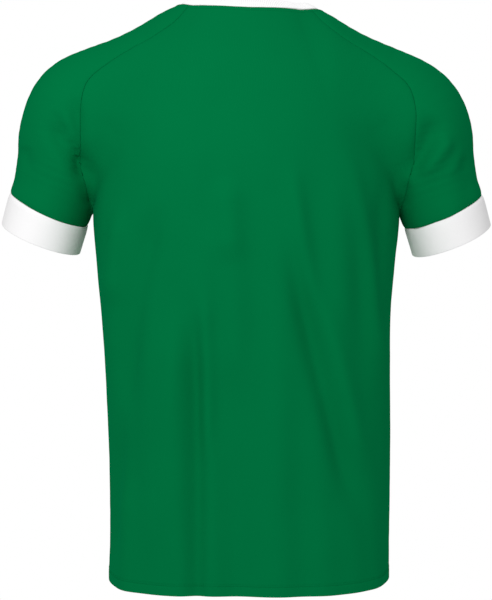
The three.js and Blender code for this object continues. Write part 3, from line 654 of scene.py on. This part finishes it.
def column_lengths(grid):
    """How far each point is down its column, in millimetres of cloth."""
    down = np.linalg.norm(np.diff(grid, axis=0), axis=-1)
    return np.concatenate([np.zeros((1, grid.shape[1])), np.cumsum(down, 0)], 0)


def spaced_rows(grid, first, last, step):
    """A grid with its rows at set distances from its first and last ones, and evenly spaced between."""
    along = column_lengths(grid)
    total = along[-1]
    start = first[-1]
    stop = total - last[-1]
    count = max(2, int(round(np.median(stop - start) / step)))
    share = np.linspace(0, 1, count + 1)[1:-1, None]
    ahead = np.repeat(np.array(first)[:, None], len(total), 1)
    behind = total - np.array(last[::-1])[:, None]
    at = np.vstack([ahead, between(start, stop, share), behind])
    made = np.empty((len(at), grid.shape[1], 3))
    for j in range(grid.shape[1]):
        for k in range(3):
            made[:, j, k] = np.interp(at[:, j], along[:, j], grid[:, j, k])
    return made


def spaced_columns(grid, first, last, step):
    return spaced_rows(grid.transpose(1, 0, 2), first, last, step).transpose(1, 0, 2)


def grid_lengths(grid):
    """How far each point is along its row and down its column, in millimetres of cloth."""
    return column_lengths(grid.transpose(1, 0, 2)).T, column_lengths(grid)


def bend_points(x1, z1, x2, z2, x3, z3, steps=BEND_STEPS):
    """Points on a bend that passes through three places."""
    a, b, c = np.array([x1, z1]), np.array([x2, z2]), np.array([x3, z3])
    pull = 2 * b - 0.5 * (a + c)
    t = np.linspace(0, 1, steps + 1)[:, None]
    return (1 - t) ** 2 * a + 2 * t * (1 - t) * pull + t**2 * c


def fold_height(p, normals, folds, gain):
    """How far folds lift the cloth at points, which is below zero in a trough."""
    height = np.zeros(p.shape[:-1])
    flat = p[..., [0, 2]]
    for face, x1, z1, x2, z2, x3, z3, most, reach in folds:
        most *= gain["depth"]
        reach *= gain["width"]
        facing = smooth_step(*FOLD_FACING, normals[..., 1] * face)
        line = bend_points(x1, z1, x2, z2, x3, z3)
        near = facing > 0
        at = flat[near]
        nearest = np.full(len(at), np.inf)
        along = np.zeros(len(at))
        for i, (a, b) in enumerate(zip(line[:-1], line[1:])):
            step = b - a
            t = np.clip((at - a) @ step / (step @ step), 0, 1)
            away = np.linalg.norm(at - a - t[:, None] * step, axis=1)
            closer = away < nearest
            nearest = np.where(closer, away, nearest)
            along = np.where(closer, (i + t) / (len(line) - 1), along)
        taper = smooth_step(0, FOLD_TAPER, along)
        if z3 > HEM["side"]:
            taper = taper * smooth_step(0, FOLD_TAPER, 1 - along)
        height[near] += facing[near] * most * taper * np.exp(-((nearest / reach) ** 2))
    return height


class Ripple:
    """Soft, uneven swells of the cloth: a few seeded waves added together."""

    def __init__(self, seed, waves, length, amount):
        random = np.random.default_rng(seed)
        way = unit(random.normal(size=(waves, 3)))
        self.way = way * 2 * np.pi / (length * random.uniform(0.7, 1.5, (waves, 1)))
        self.phase = random.uniform(0, 2 * np.pi, waves)
        self.amount = amount * math.sqrt(2 / waves)

    def __call__(self, p):
        return self.amount * np.sin(p @ self.way.T + self.phase).sum(-1)


# Long upright swells where the body hangs, broad ones all over, small uneven ones, the puckers beside
# seams, and the cuffs' soft wave.
DRAPE = Ripple(seed=11, waves=12, length=48, amount=1.2)
SWELL = Ripple(seed=14, waves=10, length=95, amount=0.6)
CRUMPLE = Ripple(seed=12, waves=14, length=34, amount=0.06)
PUCKER = Ripple(seed=13, waves=8, length=17, amount=0.1)
CUFF_WAVE = Ripple(seed=21, waves=7, length=60, amount=0.3)

def trim_lift(distance, trim):
    """The lift of a doubled band of cloth this far from its edge, with its stitched grooves."""
    edge = trim["rows"][0] + trim["soft"]
    lift = trim["ridge"] * (1 - smooth_step(-trim["soft"], trim["soft"], distance - edge))
    for row in trim["rows"]:
        lift = lift - trim["groove"] * np.exp(-(((distance - row) / trim["groove_width"]) ** 2))
    return lift


def seam_lift(grid, distance):
    """The dip into a seam, and the puckers beside it."""
    dip = -SEAM_DIP["depth"] * np.exp(-distance / SEAM_DIP["reach"])
    return dip + PUCKER(grid) * np.exp(-distance / SEAM_DIP["pucker_reach"])


def edge_half(distance, thickness):
    """Half the thickness of a doubled cloth this far from the round fold along its edge."""
    half = thickness / 2
    share = np.clip(distance / half, 0, 1)
    return half * np.sqrt(1 - (1 - share) ** 2)


def inset(outer, closed):
    """Moves the open edges of a grid in by half the seam gap."""
    moved = outer.copy()
    half = SEAM_GAP / 2
    moved[0] += unit(outer[1] - outer[0]) * half
    moved[-1] += unit(outer[-2] - outer[-1]) * half
    if not closed:
        moved[:, 0] += unit(outer[:, 1] - outer[:, 0]) * half
        moved[:, -1] += unit(outer[:, -2] - outer[:, -1]) * half
    return moved


def shell_faces(rows, columns, closed):
    """Corners of a shell's faces as row, column and layer, and how many of the faces are its walls."""
    wrap = columns if closed else columns - 1
    i, j = (x.ravel() for x in np.meshgrid(np.arange(rows - 1), np.arange(wrap), indexing="ij"))

    def faces(*corners):
        return np.stack([np.stack(np.broadcast_arrays(*c), -1) for c in corners], 1)

    outer = faces((i, j, 0), (i + 1, j, 0), (i + 1, j + 1, 0), (i, j + 1, 0))
    inner = faces((i, j, 1), (i, j + 1, 1), (i + 1, j + 1, 1), (i + 1, j, 1))
    k = np.arange(wrap)
    end = rows - 1
    rims = [
        faces((0, k, 0), (0, k + 1, 0), (0, k + 1, 1), (0, k, 1)),
        faces((end, k + 1, 0), (end, k, 0), (end, k, 1), (end, k + 1, 1)),
    ]
    if not closed:
        k = np.arange(rows - 1)
        end = columns - 1
        rims.append(faces((k + 1, 0, 0), (k, 0, 0), (k, 0, 1), (k + 1, 0, 1)))
        rims.append(faces((k, end, 0), (k + 1, end, 0), (k + 1, end, 1), (k, end, 1)))
    return np.vstack([outer, inner, *rims]), len(outer) + len(inner)


def cloth_piece(name, outer, inner, closed):
    """A closed cloth shell between two grids of points, with a pattern map named cloth."""
    rows, columns, _ = outer.shape
    corners, walls = shell_faces(rows, columns, closed)
    row, column, layer = np.moveaxis(corners, -1, 0)
    faces = layer * rows * columns + row * columns + column % columns
    points = np.vstack([outer.reshape(-1, 3), inner.reshape(-1, 3)])
    first = points[faces[0]]
    if np.cross(first[1] - first[0], first[3] - first[0]) @ (outer[0, 0] - inner[0, 0]) < 0:
        faces = faces[:, ::-1]
        row, column, layer = (x[:, ::-1] for x in (row, column, layer))
    mesh = bpy.data.meshes.new(name)
    mesh.from_pydata(points * MM, [], faces.tolist())
    whole = np.concatenate([outer, outer[:, :1]], 1) if closed else outer
    u, v = grid_lengths(whole)
    place = np.stack([u[row, column] * UV_SCALE + layer * INNER_UV_SHIFT, v[row, column] * UV_SCALE], -1)
    mesh.uv_layers.new(name="cloth").uv.foreach_set("vector", place.astype(np.float32).ravel())
    mesh.polygons.foreach_set("use_smooth", np.arange(len(faces)) < walls)
    mesh.update()
    thing = bpy.data.objects.new(name, mesh)
    bpy.context.scene.collection.objects.link(thing)
    return thing


def green_lift(grid, normals):
    """The folds and swells of the green cloth."""
    lift = fold_height(grid, normals, FOLDS, FOLD_GAIN) + fold_height(grid, normals, CREASES, CREASE_GAIN)
    facing = smooth_step(*DRAPE_FACING, np.abs(normals[..., 1])) * smooth_step(*DRAPE_START, -grid[..., 2])
    return lift + DRAPE(grid * DRAPE_STRETCH) * facing + SWELL(grid * SWELL_STRETCH) + CRUMPLE(grid)


def body_cloth(facing):
    """The outer and inner points of a body panel."""
    coarse = body_grid(facing)
    split = STEPS["yoke"]
    yoke = finer(coarse[: split + 1], FINER["down"], FINER["across"])
    body = finer(coarse[split:], FINER["down"], FINER["across"])
    grid = np.vstack([yoke, body[1:]])
    grid = spaced_rows(grid, NECK_STEPS, HEM_STEPS, STEP["panel_down"])
    grid = spaced_columns(grid, SEAM_STEPS, SEAM_STEPS, STEP["panel_across"])
    grid = onto_cloth(grid, **SETTLE)
    normals = outwards(grid)
    u, v = grid_lengths(grid)
    sides = np.minimum(u, u[:, -1:] - u)
    from_hem = v[-1:] - v
    lift = green_lift(grid, normals) + seam_lift(grid, np.minimum(sides, v))
    lift += trim_lift(v, NECK_TRIM) + trim_lift(from_hem, HEM_TRIM)
    half = edge_half(from_hem + HEM_STEPS[0], SHELL)
    middle = inset(grid + normals * lift[..., None], False) - normals * SHELL / 2
    return middle + normals * half[..., None], middle - normals * half[..., None]


def sleeve_cloth(side):
    """The outer and inner points of a sleeve, down to its cuff seam."""
    coarse = sleeve_grid(side)
    split = STEPS["yoke"]
    yoke = finer(coarse[: split + 1], FINER["sleeve"], FINER["sleeve"])
    lower = finer(coarse[split:], FINER["sleeve"], FINER["sleeve"])
    grid = np.vstack([yoke, lower[1:]])
    grid = spaced_rows(grid, NECK_STEPS, SEAM_STEPS, STEP["sleeve"])
    grid = spaced_columns(grid, SEAM_STEPS, SEAM_STEPS, STEP["sleeve"])
    grid = onto_cloth(grid, **SETTLE)
    normals = outwards(grid)
    u, v = grid_lengths(grid)
    edge = np.minimum(np.minimum(u, u[:, -1:] - u), np.minimum(v, v[-1:] - v))
    lift = green_lift(grid, normals) + seam_lift(grid, edge) + trim_lift(v, NECK_TRIM)
    outer = inset(grid + normals * lift[..., None], False)
    return outer, outer - normals * SHELL


def cuff_cloth(side):
    """The outer and inner points of a cuff, a doubled band with a fold along its lower edge."""
    seam = cuff_seam_station(side)
    per_station = np.linalg.norm(sleeve_axis(seam + 1)[:3] - sleeve_axis(seam)[:3])
    rows = []
    for i in range(STEPS["cuff"] + 1):
        share = i / STEPS["cuff"]
        tilt = between(CUFF["seam_tilt"], CUFF["edge_tilt"], share)
        station = seam + CUFF["length"] / per_station * share
        rows.append(sleeve_ring(side, station, CUFF_COLUMNS, 0, tilt)[:-1])
    grid = spaced_rows(finer(np.array(rows), FINER["cuff"], 1), SEAM_STEPS, FOLD_STEPS, STEP["cuff"])
    grid = onto_cloth(grid, **SETTLE)
    normals = outwards(grid)
    v = column_lengths(grid)
    lift = CUFF["proud"] + seam_lift(grid, v) + CUFF_WAVE(grid) * np.minimum(1, v / CUFF["length"])
    half = edge_half(v[-1:] - v + FOLD_STEPS[0], CUFF_SHELL)
    middle = inset(grid + normals * lift[..., None], True) - normals * CUFF_SHELL / 2
    return middle + normals * half[..., None], middle - normals * half[..., None]


def rib_cloth():
    """The outer and inner points of the neck rib, which stands on the neck seam and leans in."""
    smooth = neck_edge(0, 360, RIB["points"])
    around = lengths_along(smooth)[-1]
    ribs = int(round(around / KNIT["pitch"]))
    count = ribs * KNIT["columns"]
    seam = onto_cloth(evenly(smooth, count)[:-1], rounds=2, most=1)
    turn = seam[:, 1] / np.where(seam[:, 1] > 0, NECK["back"], NECK["front"])
    end = np.where(turn > 0, RIB["lean_back"], RIB["lean_front"])
    lean = np.radians(between(RIB["lean_side"], end, turn**2))[:, None]
    step = np.roll(seam, -1, 0) - np.roll(seam, 1, 0)
    inwards = unit(np.stack([step[:, 1], -step[:, 0], np.zeros(count)], -1))
    inwards *= -np.sign((inwards * seam).sum(-1, keepdims=True))
    way = inwards * np.sin(lean) + np.array([0, 0, 1]) * np.cos(lean)
    along = np.concatenate([RIB_STEPS, RIB["height"] - np.array(FOLD_STEPS[::-1])])
    grid = seam + way * (along[:, None, None] + SEAM_GAP / 2)
    normal = unit(np.cross(step, way))
    normal *= np.sign((normal * (seam - np.array([NECK["shift"], 0, 0]))).sum(-1, keepdims=True))
    knit = KNIT["height"] * np.cos(2 * np.pi * np.arange(count) / KNIT["columns"])
    from_fold = RIB["height"] - along
    swell = RIB["swell"] * np.sin(np.pi * np.clip(along / RIB["height"], 0, 1))
    left = between(RIB["fold_knit"], 1, smooth_step(0, RIB["fade"], from_fold))
    fade = smooth_step(0, RIB["fade"], along) * left
    half = edge_half(from_fold, RIB_SHELL)
    middle = grid + normal * (swell[:, None, None] - RIB_SHELL / 2)
    raised = (half[:, None] + knit * fade[:, None])[..., None]
    return middle + normal * raised, middle - normal * half[:, None, None]


def line_on(outer, distances, distance):
    """The line across a grid's outer points at a distance down each of its columns."""
    made = np.empty((outer.shape[1], 3))
    at = np.broadcast_to(distance, outer.shape[1])
    for j in range(outer.shape[1]):
        for k in range(3):
            made[j, k] = np.interp(at[j], distances[:, j], outer[:, j, k])
    return made


def stitch_shape():
    """One stitch along X: rings of points that bulge at its middle, and its faces."""
    stations = np.linspace(-1, 1, STITCH["rings"])
    sides = STITCH["sides"]
    a = 2 * np.pi * np.arange(sides) / sides
    points = []
    for s in stations:
        radius = STITCH["radius"] * math.sqrt(1 - STITCH["taper"] * s * s)
        lift = STITCH["radius"] * (1 - STITCH["dive"] * s * s)
        for angle in a:
            across = radius * math.cos(angle)
            points.append((s * STITCH["length"] / 2, across, lift + radius * math.sin(angle)))
    faces = []
    for i in range(len(stations) - 1):
        for j in range(sides):
            k = (j + 1) % sides
            faces.append((i * sides + j, i * sides + k, (i + 1) * sides + k, (i + 1) * sides + j))
    last = (len(stations) - 1) * sides
    caps = [tuple(reversed(range(sides))), tuple(range(last, last + sides))]
    return np.array(points), faces, caps


def stitches(name, lines):
    """Rows of stitches along lines of points, joined into one mesh."""
    shape, quads, caps = stitch_shape()
    points = []
    for line in lines:
        count = int(round(lengths_along(line)[-1] / STITCH["pitch"]))
        ends = evenly(line, count)
        middle = (ends[1:] + ends[:-1]) / 2
        along = unit(ends[1:] - ends[:-1])
        normal = outwards(middle)
        normal = unit(normal - along * (normal * along).sum(-1, keepdims=True))
        across = np.cross(normal, along)
        base = middle - normal * STITCH["sink"]
        placed = (
            base[:, None]
            + shape[:, 0][None, :, None] * along[:, None]
            + shape[:, 1][None, :, None] * across[:, None]
            + shape[:, 2][None, :, None] * normal[:, None]
        )
        points.append(placed.reshape(-1, 3))
    points = np.vstack(points)
    total = len(points) // len(shape)
    faces = []
    for s in range(total):
        start = s * len(shape)
        faces += [tuple(start + k for k in face) for face in quads + caps]
    mesh = bpy.data.meshes.new(name)
    mesh.from_pydata(points * MM, [], faces)
    mesh.polygons.foreach_set("use_smooth", np.ones(len(faces), bool))
    mesh.update()
    thing = bpy.data.objects.new(name, mesh)
    bpy.context.scene.collection.objects.link(thing)
    return thing


class Nodes:
    """Short calls for building a material's nodes."""

    def __init__(self, name):
        self.material = bpy.data.materials.new(name)
        self.material.use_nodes = True
        self.tree = self.material.node_tree
        self.shader = self.tree.nodes["Principled BSDF"]

    def add(self, kind, **settings):
        node = self.tree.nodes.new(kind)
        for key, value in settings.items():
            setattr(node, key, value)
        return node

    def link(self, source, target):
        self.tree.links.new(source, target)

    def math(self, operation, a, b=None):
        node = self.add("ShaderNodeMath", operation=operation)
        for socket, value in zip(node.inputs, (a, b)):
            if isinstance(value, (int, float)):
                socket.default_value = value
            elif value is not None:
                self.link(value, socket)
        return node.outputs[0]

    def cloth_place(self):
        """How far across and down the cloth, in millimetres."""
        split = self.add("ShaderNodeSeparateXYZ")
        self.link(self.add("ShaderNodeUVMap", uv_map="cloth").outputs[0], split.inputs[0])
        return [self.math("DIVIDE", split.outputs[k], UV_SCALE) for k in range(2)]

    def noise(self, scale, detail=2.0):
        """Soft noise that runs through the object's own space, its scale in cycles a metre."""
        node = self.add("ShaderNodeTexNoise")
        node.inputs["Scale"].default_value = scale
        node.inputs["Detail"].default_value = detail
        self.link(self.add("ShaderNodeTexCoord").outputs["Object"], node.inputs["Vector"])
        return node.outputs[0]

    def shade(self, colour, factor):
        """A colour multiplied by a factor that varies over the cloth."""
        node = self.add("ShaderNodeVectorMath", operation="SCALE")
        node.inputs[0].default_value = colour
        self.link(factor, node.inputs["Scale"])
        self.link(node.outputs[0], self.shader.inputs["Base Color"])

    def bump(self, height, distance, strength=1.0):
        node = self.add("ShaderNodeBump")
        node.inputs["Strength"].default_value = strength
        node.inputs["Distance"].default_value = distance
        self.link(height, node.inputs["Height"])
        self.link(node.outputs[0], self.shader.inputs["Normal"])

    def set(self, **values):
        for key, value in values.items():
            self.shader.inputs[key.replace("_", " ")].default_value = value


def spread(nodes, source, low, high):
    """A value from 0 to 1 spread over another range."""
    return nodes.math("ADD", nodes.math("MULTIPLY", source, high - low), low)


def lattice(nodes, across, down, pitch):
    """From 0 to 1 over a diagonal lattice of dots."""
    turns = 2 * math.pi / pitch
    waves = [nodes.math("SINE", nodes.math("MULTIPLY", place, turns)) for place in (across, down)]
    return spread(nodes, nodes.math("MULTIPLY", *waves), 0.5, 1.0)


def green_knit():
    nodes = Nodes("green_knit")
    nodes.set(Roughness=0.6, Specular_IOR_Level=0.0, Sheen_Weight=0.08, Sheen_Roughness=0.5)
    nodes.shader.inputs["Sheen Tint"].default_value = (0.0, 0.5, 0.22, 1)
    across, down = nodes.cloth_place()
    dots = lattice(nodes, across, down, MESH_PITCH)
    fine = spread(nodes, nodes.noise(1500, 1), 0.97, 1.03)
    broad = spread(nodes, nodes.noise(14, 2), 0.965, 1.035)
    tone = nodes.math("MULTIPLY", spread(nodes, dots, 0.93, 1.05), nodes.math("MULTIPLY", fine, broad))
    nodes.shade(GREEN, tone)
    nodes.bump(dots, 0.00012, 0.5)
    return nodes.material


def white_knit():
    nodes = Nodes("white_knit")
    nodes.set(Roughness=0.75, Specular_IOR_Level=0.2, Sheen_Weight=0.1, Sheen_Roughness=0.5)
    across, down = nodes.cloth_place()
    dots = lattice(nodes, across, down, MESH_PITCH)
    fine = spread(nodes, nodes.noise(1500, 1), 0.985, 1.015)
    nodes.shade(WHITE, nodes.math("MULTIPLY", spread(nodes, dots, 0.97, 1.01), fine))
    nodes.bump(dots, 0.0001, 0.4)
    return nodes.material


def white_rib():
    nodes = Nodes("white_rib")
    nodes.set(Roughness=0.8, Specular_IOR_Level=0.2, Sheen_Weight=0.1, Sheen_Roughness=0.5)
    _, down = nodes.cloth_place()
    turns = 2 * math.pi / COURSE_PITCH
    courses = spread(nodes, nodes.math("SINE", nodes.math("MULTIPLY", down, turns)), 0.98, 1.0)
    nodes.shade(WHITE, nodes.math("MULTIPLY", courses, spread(nodes, nodes.noise(900, 2), 0.97, 1.01)))
    nodes.bump(courses, 0.0002, 0.3)
    return nodes.material


def green_thread():
    nodes = Nodes("green_thread")
    nodes.set(Roughness=0.6, Specular_IOR_Level=0.0)
    nodes.shade(GREEN, spread(nodes, nodes.noise(3000, 1), 0.8, 1.0))
    return nodes.material


def dress(thing, material, nodes_replaced=()):
    thing.data.materials.append(material)
    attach(thing, "root")
    if nodes_replaced:
        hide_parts(*nodes_replaced)
    return thing


def make_jersey():
    green = green_knit()
    white = white_knit()
    rib = white_rib()
    thread = green_thread()
    neck_lines = []
    hem_lines = []
    made = {}
    for name, facing in (("back", 1), ("front", -1)):
        outer, inner = body_cloth(facing)
        down = column_lengths(outer)
        neck_lines.append(line_on(outer, down, NECK_TRIM["rows"][0]))
        for row in HEM_TRIM["rows"]:
            hem_lines.append(line_on(outer, down, down[-1] - row))
        piece = cloth_piece(f"{name}_cloth", outer, inner, False)
        made[name] = dress(piece, green, [f"{name}_panel"])
    for name, side in (("left", LEFT), ("right", RIGHT)):
        outer, inner = sleeve_cloth(side)
        neck_lines.append(line_on(outer, column_lengths(outer), NECK_TRIM["rows"][0]))
        piece = cloth_piece(f"sleeve_{name}_cloth", outer, inner, False)
        made[f"sleeve_{name}"] = dress(piece, green, [f"sleeve_{name}"])
        outer, inner = cuff_cloth(side)
        piece = cloth_piece(f"cuff_{name}_cloth", outer, inner, True)
        made[f"cuff_{name}"] = dress(piece, white, [f"cuff_{name}"])
    outer, inner = rib_cloth()
    made["rib"] = dress(cloth_piece("neck_rib_cloth", outer, inner, True), rib, ["neck_rib"])
    made["neck_stitches"] = dress(stitches("neck_stitches", neck_lines), thread)
    made["hem_stitches"] = dress(stitches("hem_stitches", hem_lines), thread)
    return made


def make_camera():
    data = bpy.data.cameras.new("camera")
    data.sensor_width = SENSOR
    tall = IMAGE_HEIGHT * VIEW["mm_per_pixel"] * MM
    data.lens = data.sensor_width * VIEW["distance"] / tall
    camera = bpy.data.objects.new("camera", data)
    camera.location = (0, VIEW["distance"], VIEW["z"])
    camera.rotation_euler = (math.pi / 2, 0, math.pi)
    bpy.context.scene.collection.objects.link(camera)
    bpy.context.scene.camera = camera


def area_light(name, place, size, power, target=(0, 0, -0.3)):
    data = bpy.data.lights.new(name, "AREA")
    data.shape = "DISK"
    data.size = size
    data.energy = power
    light = bpy.data.objects.new(name, data)
    light.location = place
    light.rotation_euler = (Vector(target) - Vector(place)).to_track_quat("-Z", "Y").to_euler()
    bpy.context.scene.collection.objects.link(light)


def make_floor():
    place = (0, 0, FLOOR["z"])
    bpy.ops.mesh.primitive_circle_add(
        vertices=FLOOR["corners"], radius=FLOOR["radius"], fill_type="NGON", location=place
    )
    floor = bpy.context.object
    floor.name = "floor"
    nodes = Nodes("floor")
    nodes.set(Roughness=0.9, Specular_IOR_Level=0.1)
    nodes.shader.inputs["Base Color"].default_value = (*[FLOOR["grey"]] * 3, 1)
    floor.data.materials.append(nodes.material)


def make_world():
    """Even studio light, in front of a plain white backdrop."""
    world = bpy.data.worlds.new("studio")
    bpy.context.scene.world = world
    world.use_nodes = True
    tree = world.node_tree
    light = tree.nodes["Background"]
    light.inputs["Color"].default_value = (1, 1, 1, 1)
    light.inputs["Strength"].default_value = AMBIENT
    backdrop = tree.nodes.new("ShaderNodeBackground")
    backdrop.inputs["Color"].default_value = (1, 1, 1, 1)
    mix = tree.nodes.new("ShaderNodeMixShader")
    path = tree.nodes.new("ShaderNodeLightPath")
    tree.links.new(path.outputs["Is Camera Ray"], mix.inputs["Fac"])
    tree.links.new(light.outputs[0], mix.inputs[1])
    tree.links.new(backdrop.outputs[0], mix.inputs[2])
    tree.links.new(mix.outputs[0], tree.nodes["World Output"].inputs[0])


make_camera()
make_world()
make_floor()
for light in LIGHTS:
    area_light(*light)
bpy.context.scene.view_settings.view_transform = "Standard"
jersey = make_jersey()
